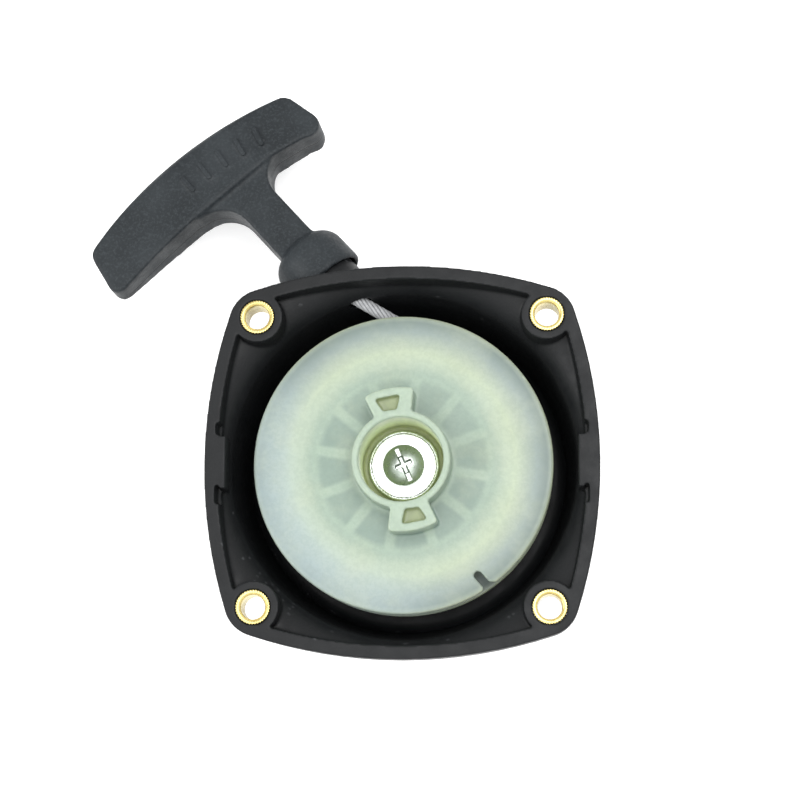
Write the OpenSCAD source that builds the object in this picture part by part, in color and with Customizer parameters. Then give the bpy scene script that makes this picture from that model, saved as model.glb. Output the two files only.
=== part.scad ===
// Recoil starter for a small two-stroke engine: a bowl-shaped housing with a square flange,
// a rope reel on a centre post, a recoil spring under the reel, and a pull rope with a T handle.
// Origin: centre of the four mounting holes, on the flange's mating face. +Z points to the engine.

/* [Mounting flange] */
// Distance between neighbouring mounting holes
hole_spacing = 78; // [76:0.5:79]
// Bore radius of the brass bushes (clearance for M6)
insert_bore_r = 3.25; // [3:0.05:3.4]
// Outer radius of the brass bushes over the knurl
insert_r = 4.7; // [4.5:0.1:5]
// Length of the brass bushes
insert_len = 9; // [8:0.5:10]
// Distance from the centre to the middle of each flange side
flange_half = 52.7; // [52:0.1:54]
// Radius of the bowed flange sides
flange_side_r = 130; // [120:5:150]
// Radius of the flange corners
flange_corner_r = 9.5; // [9:0.5:10]
// Width of the flat rim
rim_w = 3.6; // [3.2:0.1:4]
// Radius of the bosses round the bushes
boss_r = 6.9; // [6.5:0.1:7]

/* [Bowl] */
// Height of the housing, from its outer face to the flange
depth = 38; // [38:0.5:42]
// Thickness of the bowl's floor
floor_t = 3; // [2.5:0.5:3.5]
// Thickness of the bowl's wall
shell_t = 2.5; // [2.2:0.1:3]
// Inner radius of the bowl at its floor
bowl_floor_r = 44.5; // [44:0.1:45]
// Inner radius of the bowl where the corner flares begin
bowl_neck_r = 47; // [46.5:0.1:47.5]
// Depth below the flange at which the corner flares begin
flare_depth = 13; // [12:0.5:14]
// Depth of the flat shelf in the corners
shelf_depth = 4.6; // [4:0.1:5]

/* [Reel] */
// Outer radius of the reel
reel_r = 40.5; // [39.5:0.1:41]
// Depth of the reel's face below the flange
reel_face = 8; // [7.5:0.1:8.5]
// Thickness of the reel's two flanges
reel_flange_t = 2; // [1.6:0.1:2.2]
// Width of the rope groove
groove_w = 7.6; // [7.2:0.1:8]
// Radius at the bottom of the rope groove
groove_r = 25.5; // [25:0.1:26]
// Number of ribs inside the drum
rib_count = 12; // [8:1:16]
// Outer radius of the hub ring
hub_r = 13.2; // [13:0.1:14]
// Radius of the hub's recess
recess_r = 11.3; // [11.1:0.1:11.6]
// Height of the hub ring above the flange plane
hub_top = 1; // [0.5:0.1:2]
// Outer radius of the two drive dogs
dog_r = 19.4; // [19:0.1:20]

/* [Rope and handle] */
// Diameter of the rope
rope_d = 3.5; // [3:0.1:3.6]
// Length of the handle from its skirt to the top of the bar, on the rope's line
handle_len = 56.6; // [55.6:0.5:58.1]
// Thickness of the handle's bar
bar_t = 15; // [14:0.5:16]
// Outer radius of the handle's skirt
skirt_r = 10.7; // [10.5:0.1:11]

/* [Hidden] */
$fn = 96;

black = [0.17, 0.18, 0.19];
nylon = [0.78, 0.84, 0.76];
brass = [0.83, 0.68, 0.33];
zinc = [0.80, 0.81, 0.82];
spring_steel = [0.42, 0.44, 0.47];
rope_white = [0.90, 0.90, 0.92];

// Flange outline: four bowed sides and four corner arcs, all tangent
side_off = flange_side_r - flange_half;
corner_off = (sqrt(2 * pow(flange_side_r - flange_corner_r, 2) - pow(side_off, 2)) - side_off) / 2;
tangent_angle = atan2(corner_off, corner_off + side_off);

// Levels along Z, measured from the flange plane
floor_top = -(depth - floor_t);
face_z = -reel_face;
groove_top = face_z - reel_flange_t;
groove_bottom = groove_top - groove_w;
groove_mid = (groove_top + groove_bottom) / 2;
reel_bottom = groove_bottom - reel_flange_t;
post_top = -15;
washer_top = post_top + 2.4;
recess_floor = post_top - 0.3;
thrust_t = 1;
hub_end = floor_top + thrust_t + 0.2;
spring_bottom = floor_top + 1.2;
spring_h = 8;
case_top = spring_bottom + spring_h + 1.4;

// Radii round the post
post_r = 6;
reel_bore_r = post_r + 0.06;
hub_tube_r = 8.5;
drum_in_r = groove_r - 1.8;
case_r = 30;
case_wall = 0.8;

// Rope route: off the winding in a straight line to the eyelet, then out along the handle's line
rope_r = rope_d / 2;
winding_r = 34.6;
rope_line_r = 33.1;
rope_line_angle = 149;
rope_line_start = 15.5;
rope_line_len = 42.9;
rope_line_foot = rope_line_r * [cos(rope_line_angle - 90), sin(rope_line_angle - 90)];
bend = rope_line_foot + rope_line_len * [cos(rope_line_angle), sin(rope_line_angle)];
guide = [bend[0], bend[1], groove_mid];
handle_angle = 132;
handle_tilt = 5;
eyelet_start = 0.4;
tail_start = 0.7;

// Guide boss on the housing and the handle's skirt over it
guide_boss_r = 8.6;
guide_boss_end = 4.4;
guide_hole_r = 2.4;
eyelet_r = 4.2;
eyelet_bore_r = 2.3;
eyelet_end = guide_boss_end + 0.8;
skirt_start = 1.2;
skirt_seat = 6.6;
skirt_end = 15;
handle_bore_r = 2.3;
knot_cavity_r = 5;
knot_cavity_start = 42;
knot_start = 43.4;
knot_len = 6.4;
knot_r = 4.1;
plug_start = 50.6;

// The bar's crown is an arc. It is longer on the left, and each end hooks down a little
crown_r = 117.3;
crown_x = -13.4;
crown_y = handle_len - sqrt(pow(crown_r, 2) - pow(crown_x, 2));
stem_half_w = 5.7;
stem_half_t = 6;

// ---- helpers ----

// Points on an arc
function arc(centre, r, a0, a1, n) =
  [for (i = [0:n]) centre + r * [cos(a0 + (a1 - a0) * i / n), sin(a0 + (a1 - a0) * i / n)]];

// The arc that rounds corner b, between its neighbours a and c
function corner_arc(a, b, c, r, n) =
  let (
    to_a = (a - b) / norm(a - b),
    to_c = (c - b) / norm(c - b),
    half = acos(to_a * to_c) / 2,
    centre = b + (to_a + to_c) / norm(to_a + to_c) * r / sin(half),
    from = b + to_a * r / tan(half) - centre,
    to = b + to_c * r / tan(half) - centre,
    a0 = atan2(from[1], from[0]),
    turn = (atan2(to[1], to[0]) - a0 + 540) % 360 - 180
  )
  arc(centre, r, a0, a0 + turn, n);

// A polygon's points with every corner rounded, by one radius or by a list of them
function rounded(points, r, n = 6) =
  let (count = len(points))
  [for (i = [0:count - 1])
    each corner_arc(
      points[(i + count - 1) % count], points[i], points[(i + 1) % count],
      is_list(r) ? r[i] : r, n
    )];

// Point p turned about the origin
function turned(p, angle) =
  [p[0] * cos(angle) - p[1] * sin(angle), p[0] * sin(angle) + p[1] * cos(angle)];

// The flange outline, moved inwards by inset
module flange_outline(inset) {
  turn = 90 - 2 * tangent_angle;
  polygon([for (k = [0:3]) each concat(
    [for (p = arc([-side_off, 0], flange_side_r - inset, -tangent_angle, tangent_angle, 16))
      turned(p, 90 * k)],
    [for (p = arc([1, 1] * corner_off, flange_corner_r - inset, tangent_angle, tangent_angle + turn, 10))
      turned(p, 90 * k)]
  )]);
}

// Solid of revolution of the bowl, grown by a wall thickness
module bowl_solid(wall, bottom, top) {
  flare_r = bowl_neck_r + 11;
  lip = 66;
  flare = [for (t = [0:7.5:90]) [
    flare_r - (11 - wall) * cos(t),
    -flare_depth + (flare_depth - shelf_depth - wall) * sin(t)
  ]];
  toe = 3;
  rotate_extrude()
    polygon(concat(
      [[0, bottom]],
      arc([bowl_floor_r + wall - toe, bottom + toe], toe, -90, 0, 6),
      flare,
      [[lip, -shelf_depth - wall], [lip, top], [0, top]]
    ));
}

// Runs children at each mounting hole
module at_holes() {
  for (x = [-1, 1], y = [-1, 1])
    translate([x, y, 0] * hole_spacing / 2) children();
}

// Local frame of the handle at the guide: X across the bar, Y out along the rope, Z up out of the bar
module handle_frame() {
  translate(guide) rotate([0, 0, handle_angle - 90]) rotate([-handle_tilt, 0, 0]) children();
}

// Turns a solid of revolution onto the handle's rope line
module on_rope_line() {
  handle_frame() rotate([-90, 0, 0]) children();
}

// A cylinder along the handle's rope line, between two distances from the guide
module line_cylinder(r, from, to) {
  on_rope_line() translate([0, 0, from]) cylinder(r = r, h = to - from);
}

// ---- housing ----

module side_pad(side) {
  pad_w = 5.7;
  pad_len = 14;
  translate([side > 0 ? flange_half - pad_w : -flange_half, -pad_len / 2 - 0.5, -9])
    cube([pad_w, pad_len, 9]);
}

module side_slots(side) {
  slot_w = 1.3;
  slot_x = side * (flange_half - rim_w);
  for (place = [[7, 3.2], [-11.6, 5]])
    translate([slot_x - slot_w / 2, place[0], -6]) cube([slot_w, place[1], 7]);
}

module guide_channel() {
  channel_len = 12;
  translate(guide)
    rotate([0, 0, rope_line_angle + 180]) rotate([0, 90, 0]) translate([0, 0, -1])
      cylinder(r1 = guide_hole_r, r2 = guide_hole_r + 0.5, h = channel_len);
  line_cylinder(guide_hole_r - 0.1, -2, eyelet_start + 0.1);
}

module cover_recess() {
  ring_gap = 2;
  translate([0, 0, -depth - 1]) cylinder(r = 24, h = 1.8);
  translate([0, 0, -depth - 1])
    difference() {
      cylinder(r = 29, h = 1.8);
      translate([0, 0, -1]) cylinder(r = 29 - ring_gap, h = 4);
    }
}

module housing() color(black) {
  difference() {
    union() {
      difference() {
        union() {
          intersection() {
            translate([0, 0, -depth]) linear_extrude(depth) flange_outline(0);
            bowl_solid(shell_t, -depth, 1);
          }
          line_cylinder(guide_boss_r, -9, guide_boss_end);
        }
        line_cylinder(skirt_r + 0.6, skirt_start - 0.6, skirt_end);
        intersection() {
          translate([0, 0, floor_top]) linear_extrude(depth) flange_outline(rim_w);
          bowl_solid(0, floor_top, 1);
        }
      }
      intersection() {
        at_holes() translate([0, 0, -insert_len]) cylinder(r = boss_r, h = insert_len);
        translate([0, 0, -depth]) linear_extrude(depth) flange_outline(0);
      }
      intersection() {
        union() {
          side_pad(1);
          side_pad(-1);
        }
        translate([0, 0, -depth]) linear_extrude(depth) flange_outline(0);
      }
      line_cylinder(guide_boss_r, 0, guide_boss_end);
      translate([0, 0, floor_top - 0.5]) cylinder(r = post_r, h = post_top - floor_top + 0.5);
      translate([0, 0, floor_top - 0.5])
        difference() {
          cylinder(r = case_r + 1.8, h = 4);
          translate([0, 0, -1]) cylinder(r = case_r + 0.2, h = 6);
        }
    }
    at_holes() translate([0, 0, -insert_len - 1]) cylinder(r = insert_r, h = insert_len + 2);
    translate([0, 0, post_top - 12]) cylinder(r = 4.2, h = 13);
    guide_channel();
    line_cylinder(eyelet_r, eyelet_start, guide_boss_end + 1);
    side_slots(1);
    side_slots(-1);
    cover_recess();
  }
}

// Knurled brass bush, flush with the rim
module flange_bush(index) color(brass) {
  x = index % 2 == 0 ? -1 : 1;
  y = index < 2 ? 1 : -1;
  lip = 0.4;
  translate([x, y, 0] * hole_spacing / 2)
    difference() {
      translate([0, 0, -insert_len]) cylinder(r = insert_r, h = insert_len);
      translate([0, 0, -insert_len - 1]) cylinder(r = insert_bore_r, h = insert_len + 2);
      translate([0, 0, -lip]) cylinder(r1 = insert_bore_r, r2 = insert_bore_r + lip + 0.2, h = lip + 0.2);
    }
}

module post_insert() color(brass)
  translate([0, 0, post_top - 12])
    difference() {
      cylinder(r = 4.2, h = 12);
      translate([0, 0, -1]) cylinder(r = 3, h = 14);
    }

module rope_eyelet() color(zinc)
  on_rope_line()
    rotate_extrude()
      polygon([
        [eyelet_bore_r + 0.7, eyelet_start],
        [eyelet_r, eyelet_start],
        [eyelet_r, guide_boss_end],
        [eyelet_r + 1.2, guide_boss_end],
        [eyelet_r + 1.2, eyelet_end - 0.3],
        [eyelet_r + 0.9, eyelet_end],
        [eyelet_bore_r + 0.6, eyelet_end],
        [eyelet_bore_r, eyelet_end - 0.6],
        [eyelet_bore_r, eyelet_start + 0.7]
      ]);

// ---- recoil spring unit ----

module spring_case() color(zinc)
  difference() {
    translate([0, 0, floor_top]) cylinder(r = case_r, h = case_top - floor_top);
    translate([0, 0, floor_top + case_wall]) cylinder(r = case_r - case_wall, h = depth);
    translate([0, 0, floor_top - 1]) cylinder(r = 10, h = 3);
  }

function spiral(r0, pitch, turns, steps, side) =
  [for (i = [0:turns * steps])
    let (a = 360 * i / steps, r = r0 + pitch * i / steps + side)
    r * [cos(a), sin(a)]];

module recoil_spring() color(spring_steel) {
  strip_t = 0.5;
  inner_r = 10.6;
  turns = 11;
  pitch = 1.58;
  inner = spiral(inner_r, pitch, turns, 24, 0);
  outer = spiral(inner_r, pitch, turns, 24, strip_t);
  hook = [[inner_r, 0], [hub_tube_r - 1.3, 0], [hub_tube_r - 1.3, strip_t], [inner_r, strip_t]];
  translate([0, 0, spring_bottom]) linear_extrude(spring_h)
    polygon(concat(
      [for (i = [len(outer) - 1:-1:0]) outer[i]],
      hook,
      [for (i = [1:len(inner) - 1]) inner[i]]
    ));
}

module spring_cover() color(zinc)
  translate([0, 0, case_top - case_wall])
    difference() {
      cylinder(r = case_r - case_wall, h = case_wall);
      translate([0, 0, -1]) cylinder(r = 10, h = 3);
      for (k = [0:5])
        rotate([0, 0, 60 * k]) translate([20, 0, -1]) cylinder(r = 3, h = 3);
    }

module thrust_washer() color(zinc)
  translate([0, 0, floor_top])
    difference() {
      cylinder(r = 9.4, h = thrust_t);
      translate([0, 0, -1]) cylinder(r = post_r, h = 3);
    }

// ---- reel ----

module reel_body() {
  edge = 0.4;
  rotate_extrude()
    polygon([
      [hub_r, groove_top],
      [drum_in_r, groove_top],
      [drum_in_r, reel_bottom],
      [reel_r - edge, reel_bottom],
      [reel_r, reel_bottom + edge],
      [reel_r, groove_bottom - edge],
      [reel_r - edge, groove_bottom],
      [groove_r, groove_bottom],
      [groove_r, groove_top],
      [reel_r - edge, groove_top],
      [reel_r, groove_top + edge],
      [reel_r, face_z - edge],
      [reel_r - edge, face_z],
      [hub_r, face_z]
    ]);
}

module hub_body() {
  edge = 0.4;
  rotate_extrude()
    polygon([
      [reel_bore_r, hub_end],
      [hub_tube_r, hub_end],
      [hub_tube_r, recess_floor - 2.4],
      [hub_r, recess_floor - 2.4],
      [hub_r, hub_top - edge],
      [hub_r - edge, hub_top],
      [recess_r + edge, hub_top],
      [recess_r, hub_top - edge],
      [recess_r, recess_floor],
      [reel_bore_r, recess_floor]
    ]);
}

module reel_ribs() {
  rib_t = 1.3;
  difference() {
    for (k = [0:rib_count - 1])
      rotate([0, 0, 21 + 360 / rib_count * k])
        translate([hub_r - 1, -rib_t / 2, groove_bottom])
          cube([drum_in_r - hub_r + 2, rib_t, groove_w]);
    translate([0, 0, groove_bottom - 1]) cylinder(r = hub_r, h = groove_w + 1.5);
  }
}

module drive_dog() {
  wall_top = hub_top - face_z;
  pocket_depth = 3;
  difference() {
    translate([0, 0, face_z]) linear_extrude(wall_top)
      polygon(rounded(concat(
        arc([0, 0], dog_r, 79.8, 120.6, 5),
        [12.4 * [cos(123), sin(123)], 12.4 * [cos(77.5), sin(77.5)]]
      ), 0.9, 4));
    translate([0, 0, hub_top - pocket_depth]) linear_extrude(pocket_depth + 1)
      polygon(rounded([[-7.1, 16.1], [-0.2, 17.4], [-1.1, 13.3], [-4.8, 12.8]], 0.5, 4));
  }
}

module rim_notch() {
  notch_w = 2.2;
  notch_len = 5.4;
  rotate([0, 0, -55.5]) translate([reel_r, 0, groove_top - 1]) rotate([0, 0, 7])
    linear_extrude(reel_flange_t + 2) {
      translate([-notch_len + notch_w / 2, 0]) circle(r = notch_w / 2);
      translate([-notch_len + notch_w / 2, -notch_w / 2]) square([notch_len + 2, notch_w]);
      polygon([[-1, -notch_w / 2], [1, -notch_w / 2 - 2], [1, notch_w / 2 + 2], [-1, notch_w / 2]]);
    }
}

// The reel is one moulding. Its disc and drum are one node, its hub and drive dogs another
module reel() color(nylon)
  difference() {
    union() {
      reel_body();
      reel_ribs();
    }
    rim_notch();
    // hole for the rope's inner end
    rotate([0, 0, 186]) translate([drum_in_r - 2, 0, groove_mid]) rotate([0, 90, 0])
      cylinder(r = rope_r + 0.25, h = 6);
  }

module reel_hub() color(nylon)
  difference() {
    union() {
      hub_body();
      drive_dog();
      rotate([0, 0, 180]) drive_dog();
    }
    // slot for the spring's inner end
    translate([hub_tube_r - 1.8, -0.4, hub_end - 1]) cube([3, 1.4, spring_bottom + spring_h - hub_end + 2]);
  }

module retaining_washer() color(zinc) {
  edge_r = 0.5;
  washer_r = 9.6;
  line_r = 8.85;
  line_w = 0.3;
  rotate_extrude()
    polygon(concat(
      [[3.2, post_top]],
      arc([washer_r - edge_r, post_top + edge_r], edge_r, -90, 0, 3),
      arc([washer_r - edge_r, washer_top - edge_r], edge_r, 0, 90, 5),
      [[line_r + line_w / 2, washer_top], [line_r, washer_top - line_w], [line_r - line_w / 2, washer_top]],
      [[3.2, washer_top]]
    ));
}

module centre_screw() color(zinc) {
  head_r = 5.6;
  head_h = 3;
  dome_h = 1.7;
  dome_r = (pow(head_r, 2) + pow(dome_h, 2)) / (2 * dome_h);
  dome = arc([0, washer_top + head_h - dome_r], dome_r, acos(head_r / dome_r), 90, 8);
  difference() {
    union() {
      rotate_extrude()
        polygon(concat([[0, washer_top], [head_r, washer_top]], dome));
      translate([0, 0, post_top - 10]) cylinder(r = 3, h = washer_top - post_top + 11);
    }
    rotate([0, 0, -66])
      translate([-head_r - 1, -0.7, washer_top + head_h - 1.2]) cube([2 * head_r + 2, 1.4, 3]);
    for (a = [-66, 24])
      rotate([0, 0, a]) translate([-2.4, -0.55, washer_top + head_h - 2.2]) cube([4.8, 1.1, 4]);
  }
}

// ---- rope ----

module rope_winding() color(rope_white)
  difference() {
    translate([0, 0, groove_bottom + 0.2]) cylinder(r = winding_r, h = groove_w - 0.4);
    translate([0, 0, groove_bottom - 1]) cylinder(r = groove_r + 0.1, h = groove_w + 2);
  }

module reel_knot() color(rope_white)
  rotate([0, 0, 186]) translate([0, 0, groove_mid]) rotate([0, 90, 0]) {
    translate([0, 0, drum_in_r - 3.3]) sphere(r = 3);
    translate([0, 0, drum_in_r - 3]) cylinder(r = rope_r, h = groove_r - drum_in_r + 3);
  }

module rope_run() color(rope_white)
  translate([rope_line_foot[0], rope_line_foot[1], groove_mid])
    rotate([0, 0, rope_line_angle]) rotate([0, 90, 0])
      translate([0, 0, rope_line_start])
        cylinder(r = rope_r, h = rope_line_len - 0.1 - rope_line_start);

module rope_tail() color(rope_white)
  line_cylinder(rope_r, tail_start, knot_start);

// ---- handle ----

// Plan outline of the bar
module bar_outline() {
  right = rounded([[17, 38.4], [22.3, 36.4], [30.3, 31.6], [26.5, 50.3], [19, 52.8]], [6, 6, 3.8, 4.6, 1]);
  left = rounded([[-38, 54.75], [-44.5, 53.3], [-47.3, 38.2], [-30, 39.4]], [1, 3.8, 2.8, 1]);
  polygon(concat(
    [for (i = [7:27]) right[i]],
    [[22, handle_len + 2], [-38, handle_len + 2]],
    [for (i = [7:20]) left[i]],
    [[-38.5, 38.8], [-30.5, 39.3], [-22.5, 39.5], [-14.5, 39.5], [-6.5, 39.1], [2.3, 38.9], [11, 38.7]]
  ));
}

// Section across the bar: both faces bow down towards its tips
module bar_section() {
  top_r = 330;
  bottom_r = 280;
  top = [-6, bar_t / 2 - top_r];
  bottom = [4, bottom_r - bar_t / 2];
  polygon(concat(
    arc(top, top_r, 82, 98, 24),
    arc(bottom, bottom_r, 258.5, 278.5, 24)
  ));
}

module handle_bar() {
  half_t = bar_t / 2;
  edge_r = 3;
  edge_centre = crown_r - 0.02 - edge_r;
  intersection() {
    translate([0, 0, -half_t - 1]) linear_extrude(bar_t + 2) bar_outline();
    translate([0, handle_len + 5, 0]) rotate([90, 0, 0]) linear_extrude(handle_len) bar_section();
    translate([crown_x, crown_y, 0])
      rotate([0, 0, 60])
        rotate_extrude(angle = 60, $fn = 480)
          polygon(concat(
            [[crown_r - 26, half_t], [crown_r - 26, -half_t]],
            arc([edge_centre, edge_r - half_t], edge_r, -90, 0, 5),
            arc([edge_centre, half_t - edge_r], edge_r, 0, 90, 5)
          ));
  }
}

module stem() {
  top = 42;
  translate([0, 0, -stem_half_t])
    linear_extrude(2 * stem_half_t)
      polygon(concat(
        [[-stem_half_w, skirt_end - 3], [stem_half_w, skirt_end - 3]],
        corner_arc([stem_half_w, 11], [stem_half_w, 38.7], [18, 38.7], 8, 8),
        [[15, top], [-17, top]],
        corner_arc([-20, 39], [-stem_half_w, 39], [-stem_half_w, 11], 9.5, 8)
      ));
}

module skirt() {
  rotate([-90, 0, 0])
    rotate_extrude()
      polygon(concat(
        [[guide_boss_r + 0.7, skirt_start], [skirt_r - 0.5, skirt_start], [skirt_r, skirt_start + 0.5]],
        arc([skirt_r - 6, skirt_end - 6], 5.99, 8, 90, 8),
        [[handle_bore_r, skirt_end], [handle_bore_r, skirt_seat], [guide_boss_r + 0.7, skirt_seat]]
      ));
}

// Short raised bars that give the thumb a grip
module grip_marks() {
  mark_len = 6;
  mark_w = 1.5;
  for (k = [0:4])
    translate([crown_x, crown_y, bar_t / 2 - 1.2])
      rotate([0, 0, 76.2 + 3.13 * k])
        linear_extrude(1.7)
          polygon(rounded([
            [crown_r - 12, -mark_w / 2], [crown_r - 12 + mark_len, -mark_w / 2],
            [crown_r - 12 + mark_len, mark_w / 2], [crown_r - 12, mark_w / 2]
          ], 0.7, 6));
}

module handle_grip() color(black)
  difference() {
    handle_frame() {
      handle_bar();
      stem();
      skirt();
      grip_marks();
    }
    line_cylinder(handle_bore_r, skirt_seat - 1, knot_cavity_start + 1);
    line_cylinder(knot_cavity_r, knot_cavity_start, handle_len + 5);
  }

module handle_washer() color(zinc)
  on_rope_line() translate([0, 0, knot_cavity_start])
    difference() {
      cylinder(r = knot_cavity_r - 0.1, h = 1);
      translate([0, 0, -1]) cylinder(r = handle_bore_r, h = 3);
    }

module handle_knot() color(rope_white)
  on_rope_line() translate([0, 0, knot_start])
    rotate_extrude()
      polygon(concat(
        [[0, 0]],
        arc([knot_r - 2, 2], 2, -90, 0, 5),
        arc([knot_r - 2, knot_len - 2], 2, 0, 90, 5),
        [[0, knot_len]]
      ));

module handle_plug() color(black)
  line_cylinder(knot_cavity_r, plug_start, handle_len - 0.4);

housing();
flange_bush(0);  // flange_bush_1
flange_bush(1);  // flange_bush_2
flange_bush(2);  // flange_bush_3
flange_bush(3);  // flange_bush_4
post_insert();
rope_eyelet();
spring_case();
recoil_spring();
spring_cover();
thrust_washer();
reel();
reel_hub();
retaining_washer();
centre_screw();
rope_winding();
reel_knot();
rope_run();
rope_tail();
handle_grip();
handle_washer();
handle_knot();
handle_plug();
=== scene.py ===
import math

import bmesh
import bpy
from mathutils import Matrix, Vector


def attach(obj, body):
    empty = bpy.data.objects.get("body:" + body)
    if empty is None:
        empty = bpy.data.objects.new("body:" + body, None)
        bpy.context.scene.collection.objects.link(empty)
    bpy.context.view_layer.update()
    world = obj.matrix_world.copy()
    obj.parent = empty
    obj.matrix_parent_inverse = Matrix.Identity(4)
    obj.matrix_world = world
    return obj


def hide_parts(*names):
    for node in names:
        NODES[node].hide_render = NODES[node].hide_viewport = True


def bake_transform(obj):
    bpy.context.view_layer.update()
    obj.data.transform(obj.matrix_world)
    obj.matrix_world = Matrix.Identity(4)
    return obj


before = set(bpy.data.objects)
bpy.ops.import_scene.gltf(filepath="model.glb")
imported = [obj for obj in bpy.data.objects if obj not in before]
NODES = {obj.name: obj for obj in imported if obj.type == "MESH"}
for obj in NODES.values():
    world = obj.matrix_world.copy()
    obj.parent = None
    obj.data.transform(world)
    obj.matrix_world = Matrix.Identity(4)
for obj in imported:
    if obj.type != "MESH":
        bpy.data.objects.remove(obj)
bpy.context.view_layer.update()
scene = bpy.context.scene
MM = 0.001

# ---------------------------------------------------------------- camera
camera = bpy.data.objects.new("camera", bpy.data.cameras.new("camera"))
camera.location = (0.03306, -0.07063, 0.5)
camera.rotation_euler = (0.17116, 0.06608, 0.00276)
camera.data.sensor_width = 36
camera.data.lens = 85.86
scene.collection.objects.link(camera)
scene.camera = camera
scene.view_settings.view_transform = "Standard"


def polar(r, angle, z=0):
    """The point at radius r and height z, at an angle round the reel's axis."""
    return r * math.cos(angle), r * math.sin(angle), z


# ---------------------------------------------------------------- places shared with the CAD part, in mm
HOLE_SPACING = 78
HUB_TOP = 1.0
FACE_Z = -8.0
FLOOR_Z = -38.0
GROOVE_MID = -13.8
RIBS = 12
RIB_ANGLE = math.radians(21)
DOG_ANGLE = math.radians(103)

ROPE_R = 1.75
ROPE_LAY = 17.0
STRANDS = 8
# The rope's run: its line touches a circle of RUN_R at the foot, and the other three lengths start there
RUN_R = 33.1
RUN_ANGLE = math.radians(149)
RUN_START, RUN_END, RUN_GUIDE = 15.5, 42.8, 42.9
RUN_DIR = Vector(polar(1, RUN_ANGLE))
FOOT_ANGLE = RUN_ANGLE - math.pi / 2
RUN_FOOT = Vector(polar(RUN_R, FOOT_ANGLE, GROOVE_MID))
GUIDE = RUN_FOOT + RUN_DIR * RUN_GUIDE

# The handle's own axes, which start at the guide: across the bar, along the rope, and out of the bar's face
TILT = math.radians(5)
TURN = math.radians(132)
ALONG = Vector(polar(math.cos(TILT), TURN, -math.sin(TILT)))
ACROSS = Vector((math.sin(TURN), -math.cos(TURN), 0))
OUT = ACROSS.cross(ALONG)

# The arc of the handle's far side, and its centre as (across, along)
HANDLE_LEN = 56.6
CROWN_R = 117.3
CROWN_X = -13.4
CROWN_CENTRE = Vector((CROWN_X, HANDLE_LEN - math.sqrt(CROWN_R ** 2 - CROWN_X ** 2)))


def handle_point(across, along, out):
    """The place, in mm, of a point given on the handle's own axes."""
    return GUIDE + ACROSS * across + ALONG * along + OUT * out


# ---------------------------------------------------------------- mesh helpers
def add_piece(name, mesh, material, body):
    """A smooth piece from a mesh, with its finish and, if a body is named, riding on it."""
    mesh.polygons.foreach_set("use_smooth", [True] * len(mesh.polygons))
    mesh.materials.clear()
    mesh.materials.append(material)
    obj = bpy.data.objects.new(name, mesh)
    scene.collection.objects.link(obj)
    if body:
        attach(obj, body)
    return obj


def mesh_from(name, points, faces):
    """A mesh from points in mm."""
    mesh = bpy.data.meshes.new(name)
    mesh.from_pydata([tuple(Vector(p) * MM) for p in points], [], faces)
    mesh.update()
    return mesh


def moulded(name, nodes, material, body, voxel, smooth, keep):
    """CAD nodes shown as one piece with soft edges: joined, remeshed with voxels of a size in mm, smoothed as
    often as smooth says, and thinned out until a part of its faces, keep, is left."""
    mesh = NODES[nodes[0]].data.copy()
    work = bmesh.new()
    work.from_mesh(mesh)
    bmesh.ops.remove_doubles(work, verts=work.verts, dist=1e-6)
    work.to_mesh(mesh)
    work.free()
    draft = bpy.data.objects.new(name + "_draft", mesh)
    scene.collection.objects.link(draft)
    for other in nodes[1:]:
        join = draft.modifiers.new("join", "BOOLEAN")
        join.operation = "UNION"
        join.solver = "EXACT"
        join.object = NODES[other]
    remesh = draft.modifiers.new("remesh", "REMESH")
    remesh.mode = "VOXEL"
    remesh.voxel_size = voxel * MM
    soft = draft.modifiers.new("soft", "SMOOTH")
    soft.factor = 0.5
    soft.iterations = smooth
    thin = draft.modifiers.new("thin", "DECIMATE")
    thin.ratio = keep
    bpy.context.view_layer.update()
    done = bpy.data.meshes.new_from_object(draft.evaluated_get(bpy.context.evaluated_depsgraph_get()))
    bpy.data.objects.remove(draft)
    bpy.data.meshes.remove(mesh)
    done.name = name
    piece = add_piece(name, done, material, body)
    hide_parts(*nodes)


def ring_faces(rings, sides, closed):
    """Quads between rings of sides points each. A closed tube joins its last ring to its first."""
    faces = []
    for i in range(rings if closed else rings - 1):
        n = (i + 1) % rings
        for k in range(sides):
            m = (k + 1) % sides
            faces.append((i * sides + k, i * sides + m, n * sides + m, n * sides + k))
    return faces


def rope_tube(path, spread=6, lay=ROPE_LAY, depth=0.2):
    """Points and faces of a laid rope along path. Its section has a lobe of spread points for each strand and
    turns once in each lay. The valleys between the lobes cut into the radius by the part depth."""
    sides = STRANDS * spread
    points = []
    run = 0.0
    side = None
    for i, p in enumerate(path):
        ahead = (path[min(i + 1, len(path) - 1)] - path[max(i - 1, 0)]).normalized()
        if i:
            run += (p - path[i - 1]).length
        side = side or ahead.orthogonal().normalized()
        side = (side - ahead * side.dot(ahead)).normalized()
        other = ahead.cross(side)
        for k in range(sides):
            angle = 2 * math.pi * k / sides
            lobe = abs(math.cos(STRANDS / 2 * angle)) ** 0.6
            r = ROPE_R * (1 - depth * (1 - lobe))
            turned = angle + 2 * math.pi * run / lay
            points.append(p + (side * math.cos(turned) + other * math.sin(turned)) * r)
    faces = ring_faces(len(path), sides, False)
    last = (len(path) - 1) * sides
    faces.append(tuple(range(sides - 1, -1, -1)))
    faces.append(tuple(last + k for k in range(sides)))
    return points, faces


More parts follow.
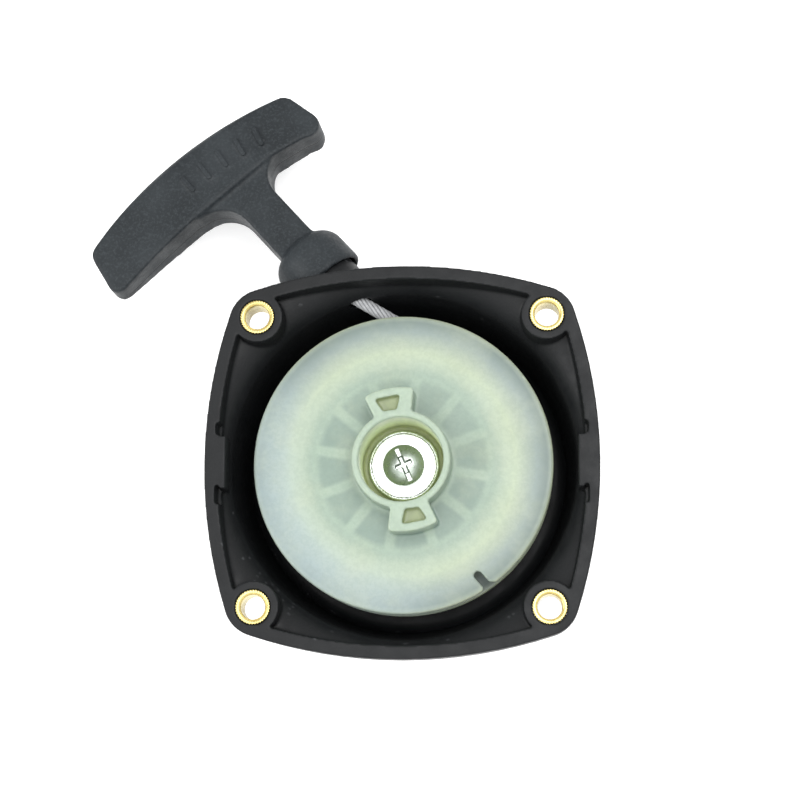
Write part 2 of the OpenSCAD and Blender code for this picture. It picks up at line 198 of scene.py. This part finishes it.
# ---------------------------------------------------------------- material helpers
class Look:
    """One node material: a Principled shader and the few helpers that its pattern needs. Lengths are in
    metres unless mm is named."""

    def __init__(self, name):
        self.material = bpy.data.materials.new(name)
        self.material.use_nodes = True
        self.tree = self.material.node_tree
        self.shader = self.tree.nodes["Principled BSDF"]
        self.place = self.node("ShaderNodeTexCoord").outputs["Object"]

    def put(self, socket, value):
        """Links an output to a socket, or sets the socket to a plain value."""
        if isinstance(value, bpy.types.NodeSocket):
            self.tree.links.new(value, socket)
        else:
            socket.default_value = value

    def put_named(self, node, values):
        """Puts each value into the input of its name, in which _ stands for a space."""
        for key, value in values.items():
            self.put(node.inputs[key.replace("_", " ")], value)

    def node(self, kind, **values):
        """A new node with values put into its inputs."""
        node = self.tree.nodes.new(kind)
        self.put_named(node, values)
        return node

    def set(self, **values):
        """Puts values into the shader's own inputs."""
        self.put_named(self.shader, values)

    def noise(self, scale, detail=3, roughness=0.6):
        node = self.node("ShaderNodeTexNoise", Vector=self.place, Scale=scale)
        self.put_named(node, {"Detail": detail, "Roughness": roughness})
        return node.outputs["Fac"]

    def maths(self, operation, a, b=0.0):
        node = self.node("ShaderNodeMath")
        node.operation = operation
        self.put(node.inputs[0], a)
        self.put(node.inputs[1], b)
        return node.outputs[0]

    def vector_maths(self, operation, a, b):
        node = self.node("ShaderNodeVectorMath")
        node.operation = operation
        self.put(node.inputs[0], a)
        self.put(node.inputs[1], b)
        return node.outputs

    def product(self, *values):
        result = values[0]
        for value in values[1:]:
            result = self.maths("MULTIPLY", result, value)
        return result

    def fit(self, value, low, high, to_low=0.0, to_high=1.0):
        """A smooth step from to_low, where value is low, to to_high, where it is high."""
        node = self.node("ShaderNodeMapRange", Value=value, From_Min=low, From_Max=high)
        self.put_named(node, {"To Min": to_low, "To Max": to_high})
        node.interpolation_type = "SMOOTHSTEP"
        return node.outputs["Result"]

    def fit_mm(self, value, low, high, to_low=0.0, to_high=1.0):
        """The same for a length, with low and high in mm."""
        return self.fit(value, low * MM, high * MM, to_low, to_high)

    def edges(self, low, high, to_low=0.0, to_high=1.0):
        """The same for the pointiness, which is above 0.5 on edges and below it in corners."""
        pointiness = self.node("ShaderNodeNewGeometry").outputs["Pointiness"]
        return self.fit(pointiness, low, high, to_low, to_high)

    def axes(self):
        """The place's x, y and z."""
        return self.node("ShaderNodeSeparateXYZ", Vector=self.place).outputs

    def radius(self):
        """How far the place is from the reel's axis."""
        x, y, _ = self.axes()
        return self.maths("SQRT", self.maths("ADD", self.product(x, x), self.product(y, y)))

    def along(self, direction, origin=(0, 0, 0)):
        """How far the place lies along a direction from an origin in mm."""
        away = self.vector_maths("SUBTRACT", self.place, Vector(origin) * MM)["Vector"]
        return self.vector_maths("DOT_PRODUCT", away, Vector(direction))["Value"]

    def distance(self, *line):
        """How far the place lies to either side of where along() is 0."""
        return self.maths("ABSOLUTE", self.along(*line))

    def mix(self, factor, a, b):
        """The colour a where factor is 0, and b where it is 1."""
        node = self.node("ShaderNodeMix")
        node.data_type = "RGBA"
        self.put(node.inputs["Factor"], factor)
        for socket, value in ((node.inputs[6], a), (node.inputs[7], b)):
            self.put(socket, (*value, 1) if isinstance(value, tuple) else value)
        return node.outputs[2]

    def ramp(self, value, stops):
        """A colour that changes with a length. stops are (length in mm, colour), the shortest first."""
        low, high = stops[0][0], stops[-1][0]
        spot = self.node("ShaderNodeMapRange", Value=value, From_Min=low * MM, From_Max=high * MM)
        node = self.node("ShaderNodeValToRGB", Fac=spot.outputs["Result"])
        elements = node.color_ramp.elements
        for at, colour in stops:
            if at == low:
                stop = elements[0]
            elif at == high:
                stop = elements[-1]
            else:
                stop = elements.new((at - low) / (high - low))
            stop.color = (*colour, 1)
        return node.outputs[0]

    def bump(self, *layers):
        """Stacks (height, strength, distance in mm) layers of bump onto the shader."""
        last = None
        for height, strength, distance in layers:
            node = self.node("ShaderNodeBump", Height=height, Strength=strength, Distance=distance * MM)
            if last:
                self.put(node.inputs["Normal"], last)
            last = node.outputs[0]
        self.set(Normal=last)


# ---------------------------------------------------------------- materials
# Where the two halves of the handle's mould met, on its own axis out of the bar's face
SEAM_OUT = -0.6


def moulded_plastic(name, dark, light, edge_wear_and_highlight, rough, grain_scale, grain_depth, seam=False):
    """Black plastic with an uneven tone, a spark-eroded grain, paler edges, partly rubbed and partly a
    painted highlight, painted shade in its inner corners and, on the handle, the mould's seam."""
    look = Look(name)
    tone = look.noise(60, 4)
    grain = look.noise(grain_scale, 2, 0.7)
    fleck = look.noise(grain_scale * 0.45, 3)
    colour = look.mix(look.fit(tone, 0.2, 0.8, 0.1, 0.6), dark, light)
    colour = look.mix(look.fit(grain, 0.45, 0.7, 0, 0.6), colour, light)
    # paler edges: partly rubbed wear, partly a painted highlight
    wear_and_highlight = look.product(look.edges(0.535, 0.62), look.fit(fleck, 0.35, 0.65, 0.3, 0.9))
    colour = look.mix(wear_and_highlight, colour, edge_wear_and_highlight)
    # painted shade: the inner corners are darkened
    colour = look.mix(look.edges(0.45, 0.488, 0.75, 0), colour, (0.002, 0.002, 0.002))
    layers = [(look.noise(300, 2), 0.15, 0.15), (grain, grain_depth, 0.08)]
    if seam:
        line = look.fit_mm(look.distance(OUT, handle_point(0, 0, SEAM_OUT)), 0.1, 0.32, 1, 0)
        colour = look.mix(look.product(line, 0.8), colour, (0.004, 0.004, 0.004))
        layers.append((look.maths("SUBTRACT", 1.0, line), 0.6, 0.12))
    look.set(Base_Color=colour, Roughness=look.fit(look.noise(180, 3), 0.3, 0.7, rough - 0.06, rough + 0.1))
    look.set(Specular_IOR_Level=0.23)
    look.bump(*layers)
    return look.material


def bright_metal(name, base, stain, dark, rough, line_radius=None, slope_reflection=None):
    """Plated or machined metal with fine tool lines, a little tarnish and painted shade in its inner corners.
    It can have a dark line of painted shade at one radius in mm, with a greenish smudge outside it, and a
    painted greenish reflection where it slopes."""
    look = Look(name)
    lines = look.noise(900, 3, 0.7)
    patch = look.noise(160, 4)
    colour = look.mix(look.fit(patch, 0.42, 0.75, 0, 0.6), base, stain)
    # painted shade: the inner corners are darkened
    colour = look.mix(look.edges(0.40, 0.492, 0.85, 0), colour, dark)
    if line_radius:
        # painted shade: a dark line at line_radius, where a flat face turns into its rounded edge
        radius = look.radius()
        away = look.maths("ABSOLUTE", look.maths("SUBTRACT", radius, line_radius * MM))
        line = look.product(look.fit_mm(away, 0.08, 0.3, 0.9, 0), look.fit(patch, 0.3, 0.55, 0.45, 1))
        colour = look.mix(line, colour, dark)
        smudge = look.product(
            look.fit_mm(radius, line_radius - 2, line_radius), look.fit(patch, 0.45, 0.6, 0, 0.6)
        )
        colour = look.mix(smudge, colour, (0.40, 0.45, 0.30))
    if slope_reflection:
        # painted reflection: the sloping parts take the greenish colour of the nylon they would mirror
        normal = look.node("ShaderNodeNewGeometry").outputs["Normal"]
        level = look.node("ShaderNodeSeparateXYZ", Vector=normal).outputs["Z"]
        colour = look.mix(look.fit(level, 0.972, 0.992, 1, 0), colour, slope_reflection)
    look.set(Base_Color=colour, Metallic=1.0, Roughness=look.fit(lines, 0.3, 0.7, rough - 0.05, rough + 0.1))
    look.bump((lines, 0.1, 0.04), (patch, 0.12, 0.12))
    return look.material


# The colour of the reel's face from the hub to the rim, and of the hub's recess from its floor to its top,
# where the recess has painted light on its walls and painted shade at its floor
FACE_COLOURS = [
    (13, (0.22, 0.29, 0.245)), (21, (0.24, 0.315, 0.265)), (24.5, (0.26, 0.335, 0.275)),
    (27.5, (0.35, 0.42, 0.325)), (30.5, (0.38, 0.445, 0.325)), (33, (0.31, 0.365, 0.295)),
    (36, (0.225, 0.28, 0.26)), (38.8, (0.145, 0.19, 0.175)), (39.9, (0.22, 0.265, 0.215)),
    (40.5, (0.42, 0.47, 0.33))
]
RECESS_LIGHT_AND_SHADE = [
    (-15, (0.38, 0.43, 0.20)), (-12, (0.74, 0.82, 0.48)), (-8, (0.80, 0.90, 0.58)),
    (-2, (0.50, 0.58, 0.38)), (HUB_TOP, (0.42, 0.49, 0.35))
]
PAINTED_LIGHT_SIDE = math.radians(212)


def nylon_look():
    """Natural nylon: pale green-grey and slightly translucent, with the ribs showing faintly through it,
    painted light on one side of its rim and on its edges, and painted light and shade in the hub's recess.
    """
    look = Look("nylon_reel")
    x, y, z = look.axes()
    radius = look.radius()
    tone = look.noise(24, 3)
    cloud = look.noise(75, 4)
    fine = look.noise(420, 3)
    colour = look.ramp(radius, FACE_COLOURS)
    # painted light: one side of the outer ring is painted bluer and paler
    painted_light = look.product(look.fit_mm(look.along(polar(1, PAINTED_LIGHT_SIDE)), 2, 30), look.fit_mm(radius, 25, 33))
    colour = look.mix(look.product(painted_light, 0.6), colour, (0.33, 0.41, 0.42))
    # a paler middle with darker cells between the ribs, which have soft corners
    step = look.product(look.maths("SUBTRACT", look.maths("ARCTAN2", y, x), RIB_ANGLE), RIBS / 2)
    from_rib = look.product(look.maths("ABSOLUTE", look.maths("SINE", step)), radius, 2 / RIBS)
    cell = look.product(
        look.fit_mm(from_rib, 0.7, 1.9),
        look.fit_mm(radius, 21.8, 24.2, 1, 0),
        look.fit_mm(radius, 13.6, 15.2),
        look.fit(tone, 0.3, 0.65, 0.5, 1.0)
    )
    inside = look.fit_mm(radius, 22.5, 26, 1, 0)
    colour = look.mix(look.product(inside, 0.5), colour, (0.35, 0.44, 0.34))
    colour = look.mix(look.product(cell, 0.9), colour, (0.19, 0.26, 0.22))
    colour = look.mix(look.fit(cloud, 0.4, 0.7, 0, 0.25), colour, (0.42, 0.46, 0.33))
    # the hub's ring and dogs are thicker and paler, the deep recess and the dogs' pockets look olive, and the
    # recess has painted light on its walls and painted shade at its floor
    high = look.fit_mm(z, FACE_Z + 0.8, FACE_Z + 6)
    colour = look.mix(high, colour, look.mix(cloud, (0.285, 0.36, 0.285), (0.35, 0.43, 0.335)))
    out = look.distance(polar(1, DOG_ANGLE))
    pocket = look.product(
        look.fit_mm(out, 12.9, 13.2),
        look.fit_mm(out, 18.2, 18.5, 1, 0),
        look.fit_mm(look.distance(polar(1, DOG_ANGLE - math.pi / 2)), 4.2, 4.6, 1, 0),
        look.fit_mm(z, HUB_TOP - 0.9, HUB_TOP - 0.3, 1, 0)
    )
    colour = look.mix(pocket, colour, (0.31, 0.36, 0.20))
    recess = look.product(
        look.fit_mm(radius, 11.45, 11.6, 1, 0),
        look.fit_mm(z, HUB_TOP - 0.2, HUB_TOP - 2.5)
    )
    # painted light and shade in the recess: pale walls, a darker floor
    colour = look.mix(recess, colour, look.ramp(z, RECESS_LIGHT_AND_SHADE))
    # painted highlight: the edges are painted paler
    colour = look.mix(look.product(look.edges(0.51, 0.58), 0.5), colour, (0.46, 0.53, 0.42))
    colour = look.mix(look.fit(look.noise(800, 2, 0.7), 0.35, 0.65, 0, 0.14), colour, (0.14, 0.19, 0.16))
    look.set(Base_Color=colour, Roughness=look.fit(look.noise(90, 3), 0.3, 0.7, 0.3, 0.5))
    look.set(Subsurface_Weight=0.35, Subsurface_Radius=(1.0, 1.0, 0.75), Subsurface_Scale=0.0012)
    look.bump((cloud, 0.12, 0.4), (fine, 0.1, 0.12), (look.noise(1700, 2), 0.06, 0.03))
    return look.material


def rope_look(name, strands):
    """White nylon rope with painted shade between its strands. strands(look) is 1 on one and 0 between two.
    """
    look = Look(name)
    fibre = look.noise(1500, 3, 0.7)
    strand = strands(look)
    # painted shade: darker between the strands
    colour = look.mix(strand, (0.055, 0.056, 0.06), (0.42, 0.43, 0.44))
    colour = look.mix(look.fit(fibre, 0.35, 0.7, 0, 0.45), colour, (0.22, 0.225, 0.235))
    look.set(Base_Color=colour, Roughness=0.55, Sheen_Weight=0.3, Sheen_Roughness=0.4)
    look.bump((strand, 0.35, 0.25), (fibre, 0.5, 0.08))
    return look.material


def modelled_strands(look):
    """The strands of a rope whose mesh has a lobe for each."""
    return look.edges(0.43, 0.515)


def straight_strands(look):
    """The strands of the handle's straight rope, worked out from the place, so that they stay true when the
    rope is drawn out."""
    turn = look.maths("ARCTAN2", look.along(OUT, GUIDE), look.along(ACROSS, GUIDE))
    laid = look.product(look.along(ALONG, GUIDE), 2 * math.pi / (ROPE_LAY * MM))
    wave = look.maths("COSINE", look.product(look.maths("SUBTRACT", turn, laid), STRANDS))
    return look.fit(wave, -1.0, 0.1)


# The plated steel's colours: clean, tarnished, and dark for its painted shade
PLATING = (0.82, 0.86, 0.84), (0.56, 0.62, 0.54), (0.09, 0.10, 0.09)

black = moulded_plastic(
    "black_nylon_moulded", dark=(0.006, 0.0066, 0.0072), light=(0.012, 0.013, 0.0142),
    edge_wear_and_highlight=(0.04, 0.042, 0.045), rough=0.46, grain_scale=2200, grain_depth=0.3
)
grip_black = moulded_plastic(
    "handle_plastic_moulded", dark=(0.0085, 0.011, 0.013), light=(0.034, 0.0405, 0.045),
    edge_wear_and_highlight=(0.042, 0.044, 0.046), rough=0.5, grain_scale=1300, grain_depth=0.9, seam=True
)
brass = bright_metal("brass_machined", (0.88, 0.76, 0.33), (0.60, 0.44, 0.14), (0.22, 0.15, 0.04), rough=0.26)
zinc = bright_metal("zinc_plated", *PLATING, rough=0.18)
washer_zinc = bright_metal("zinc_washer", *PLATING, rough=0.2, line_radius=8.85)
screw_zinc = bright_metal(
    "zinc_screw", (0.80, 0.84, 0.81), (0.6, 0.64, 0.6), (0.05, 0.055, 0.05), rough=0.3,
    slope_reflection=(0.34, 0.385, 0.34)
)
dull_zinc = bright_metal("zinc_hidden", (0.62, 0.63, 0.64), (0.40, 0.40, 0.40), (0.2, 0.2, 0.2), rough=0.34)
strip = bright_metal("spring_strip", (0.22, 0.25, 0.31), (0.13, 0.12, 0.12), (0.08, 0.08, 0.08), rough=0.3)
nylon = nylon_look()
rope = rope_look("rope_strands", modelled_strands)
rope_straight = rope_look("rope_strands_straight", straight_strands)

# ---------------------------------------------------------------- moulded and turned parts with soft edges
moulded(
    "housing_shell", ("housing",), black, "housing",
    voxel=0.38, smooth=5, keep=0.4
)
moulded(
    "reel_moulded", ("reel", "reel_hub"), nylon, "reel",
    voxel=0.36, smooth=3, keep=0.5
)
moulded(
    "handle_moulded", ("handle_grip",), grip_black, "handle",
    voxel=0.42, smooth=16, keep=0.6
)
moulded(
    "handle_plug_moulded", ("handle_plug",), grip_black, "handle",
    voxel=0.25, smooth=3, keep=0.6
)
moulded(
    "washer_turned", ("retaining_washer",), washer_zinc, "housing",
    voxel=0.14, smooth=2, keep=0.5
)
moulded(
    "screw_headed", ("centre_screw",), screw_zinc, "housing",
    voxel=0.14, smooth=2, keep=0.5
)

# ---------------------------------------------------------------- knurled brass bushes in the corners
TEETH = 38
TOOTH_STEPS = 6
# The teeth stand on the part of the profile that is further out than this, and start a little below it
TOOTHED_FROM = 4.25
TOOTH_FOOT = -0.08
TOOTH_HEIGHT = 0.26
# How far each bush is turned from the one before, in radians
TURN_APART = 0.3
BUSH_PROFILE = [
    (3.25, -8.8), (3.45, -9), (4.3, -9), (4.5, -8.8), (4.5, -0.25), (4.42, -0.08), (4.3, -0.03),
    (3.78, -0.03), (3.72, -0.06), (3.68, -0.25), (3.58, -0.3), (3.4, -0.42), (3.28, -0.6), (3.25, -1)
]
HOLES = [(x * HOLE_SPACING / 2, y * HOLE_SPACING / 2) for y in (1, -1) for x in (-1, 1)]
for number, (hole_x, hole_y) in enumerate(HOLES, 1):
    points = []
    for i in range(TEETH * TOOTH_STEPS):
        angle = 2 * math.pi * i / (TEETH * TOOTH_STEPS) + TURN_APART * number
        tooth = abs(i % TOOTH_STEPS / TOOTH_STEPS * 2 - 1)
        for r, z in BUSH_PROFILE:
            if r > TOOTHED_FROM:
                r += TOOTH_FOOT + TOOTH_HEIGHT * tooth
            x, y, z = polar(r, angle, z)
            points.append((hole_x + x, hole_y + y, z))
    faces = ring_faces(TEETH * TOOTH_STEPS, len(BUSH_PROFILE), True)
    bush = add_piece(f"bush_{number}", mesh_from(f"bush_{number}", points, faces), brass, "housing")
    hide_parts(f"flange_bush_{number}")

# ---------------------------------------------------------------- raised bars on the handle's face
MARKS = 5
# The bars' angles round the centre of the crown's arc, in degrees
FIRST_MARK, MARK_STEP = 76.2, 3.13
MARK_SIDES = 28
MARK_HALF_LEN, MARK_HALF_W = 3.0, 0.75
# How far the bars' lower ends are from the crown
MARK_DEPTH = 12
# The bars' section, from inside the grip to their tops, as (height, inset)
MARK_LAYERS = ((6.3, 0), (7.8, 0), (8.02, 0.06), (8.14, 0.2), (8.2, 0.42))
points, faces = [], []
for k in range(MARKS):
    axis = Vector(polar(1, math.radians(FIRST_MARK + MARK_STEP * k))[:2])
    beside = Vector((-axis.y, axis.x))
    centre = CROWN_CENTRE + axis * (CROWN_R - MARK_DEPTH + MARK_HALF_LEN)
    first = len(points)
    for height, inset in MARK_LAYERS:
        for i in range(MARK_SIDES):
            a = 2 * math.pi * (i + 0.5) / MARK_SIDES
            cap = math.copysign(MARK_HALF_LEN - MARK_HALF_W, math.cos(a))
            r = MARK_HALF_W - inset
            spot = centre + axis * (cap + r * math.cos(a)) + beside * (r * math.sin(a))
            points.append(handle_point(spot.x, spot.y, height))
    faces += [tuple(first + n for n in face) for face in ring_faces(len(MARK_LAYERS), MARK_SIDES, False)]
    top = first + (len(MARK_LAYERS) - 1) * MARK_SIDES
    faces.append(tuple(top + i for i in range(MARK_SIDES)))
    faces.append(tuple(first + i for i in range(MARK_SIDES - 1, -1, -1)))
add_piece("grip_marks", mesh_from("grip_marks", points, faces), grip_black, "handle")

# ---------------------------------------------------------------- rope: run to the guide, winding and tail
RUN_STEPS = 120
distances = [RUN_START + (RUN_END - RUN_START) * i / RUN_STEPS for i in range(RUN_STEPS + 1)]
path = [RUN_FOOT + RUN_DIR * d for d in distances]
run = add_piece("rope_run_laid", mesh_from("rope_run_laid", *rope_tube(path)), rope, "housing")
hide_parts("rope_run")

# Five turns in three layers: (radius, height) of each. The last part of a turn, STEP_PART, leads to the next
TURNS = [(27.4, -15.5), (27.4, -12.1), (30.4, -12.1), (30.4, -15.5), (32.7, -13.8)]
TURN_STEPS = 90
STEP_PART = 0.15
path = []
for i in range(len(TURNS) * TURN_STEPS + 1):
    t = i / TURN_STEPS
    k = min(int(t), len(TURNS) - 1)
    shift = max(0.0, (t - k - 1 + STEP_PART) / STEP_PART)
    here, there = Vector(TURNS[k]), Vector(TURNS[min(k + 1, len(TURNS) - 1)])
    r, z = here.lerp(there, shift)
    path.append(Vector(polar(r, FOOT_ANGLE - 2 * math.pi * (len(TURNS) - t), z)))
winding_mesh = mesh_from("rope_winding_laid", *rope_tube(path, spread=4))
winding = add_piece("rope_winding_laid", winding_mesh, rope, "reel")
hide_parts("rope_winding")

# The tail is a plain tube, with the strands in its finish, and rides on no body. Its first rings are close
# together, meant to draw out between the guide and the handle as the handle is pulled
TAIL_START, TAIL_END = 0.7, 43.3
CLOSE_STEP, CLOSE_RINGS = 0.05, 120
WIDE_STEP, WIDE_RINGS = 1.2, 30
wide_start = TAIL_START + CLOSE_STEP * CLOSE_RINGS
distances = [TAIL_START + CLOSE_STEP * i for i in range(CLOSE_RINGS)]
distances += [wide_start + WIDE_STEP * i for i in range(WIDE_RINGS)] + [TAIL_END]
path = [GUIDE + ALONG * d for d in distances]
tail_mesh = mesh_from("rope_tail_laid", *rope_tube(path, lay=math.inf, depth=0.0))
tail = add_piece("rope_tail_laid", tail_mesh, rope_straight, None)
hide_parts("rope_tail")
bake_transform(tail)

# ---------------------------------------------------------------- CAD nodes that keep their shape
for name, material in (
    ("post_insert", brass), ("rope_eyelet", zinc), ("spring_case", dull_zinc), ("spring_cover", dull_zinc),
    ("recoil_spring", strip), ("thrust_washer", dull_zinc), ("handle_washer", dull_zinc),
    ("reel_knot", rope), ("handle_knot", rope)
):
    NODES[name].data.materials.clear()
    NODES[name].data.materials.append(material)

# ---------------------------------------------------------------- floor and light
# The floor is round and ends before the drawn-out rope would dip through it
FLOOR_R = 200
FLOOR_SIDES = 96
floor_look = Look("floor_pale")
shade = floor_look.fit(floor_look.noise(6, 3), 0.3, 0.7)
floor_look.set(Base_Color=floor_look.mix(shade, (0.92, 0.92, 0.92), (0.94, 0.94, 0.94)), Roughness=0.8)
floor_look.set(Emission_Color=(1, 1, 1, 1), Emission_Strength=0.35)
corners = [polar(FLOOR_R, 2 * math.pi * i / FLOOR_SIDES, FLOOR_Z) for i in range(FLOOR_SIDES)]
floor_mesh = mesh_from("floor", corners, [tuple(range(FLOOR_SIDES))])
floor_mesh.materials.append(floor_look.material)
floor = bpy.data.objects.new("floor", floor_mesh)
scene.collection.objects.link(floor)

world = bpy.data.worlds.new("studio")
world.use_nodes = True
world.node_tree.nodes["Background"].inputs["Color"].default_value = (1, 1, 1, 1)
world.node_tree.nodes["Background"].inputs["Strength"].default_value = 1.0
scene.world = world


def softbox(name, place, size, power):
    """A square light that faces the frame's origin. Its place and size are in metres, its power in watts."""
    light = bpy.data.lights.new(name, "AREA")
    light.size = size
    light.energy = power
    obj = bpy.data.objects.new(name, light)
    obj.location = place
    obj.rotation_euler = (-Vector(place)).to_track_quat("-Z", "Y").to_euler()
    scene.collection.objects.link(obj)


softbox("key_overhead", (0.2, 0.2, 0.75), 0.4, 2.2)
softbox("front_soft", (0.05, -0.2, 0.7), 0.6, 2.2)
softbox("fill_left", (-0.6, -0.1, 0.5), 0.45, 2.3)
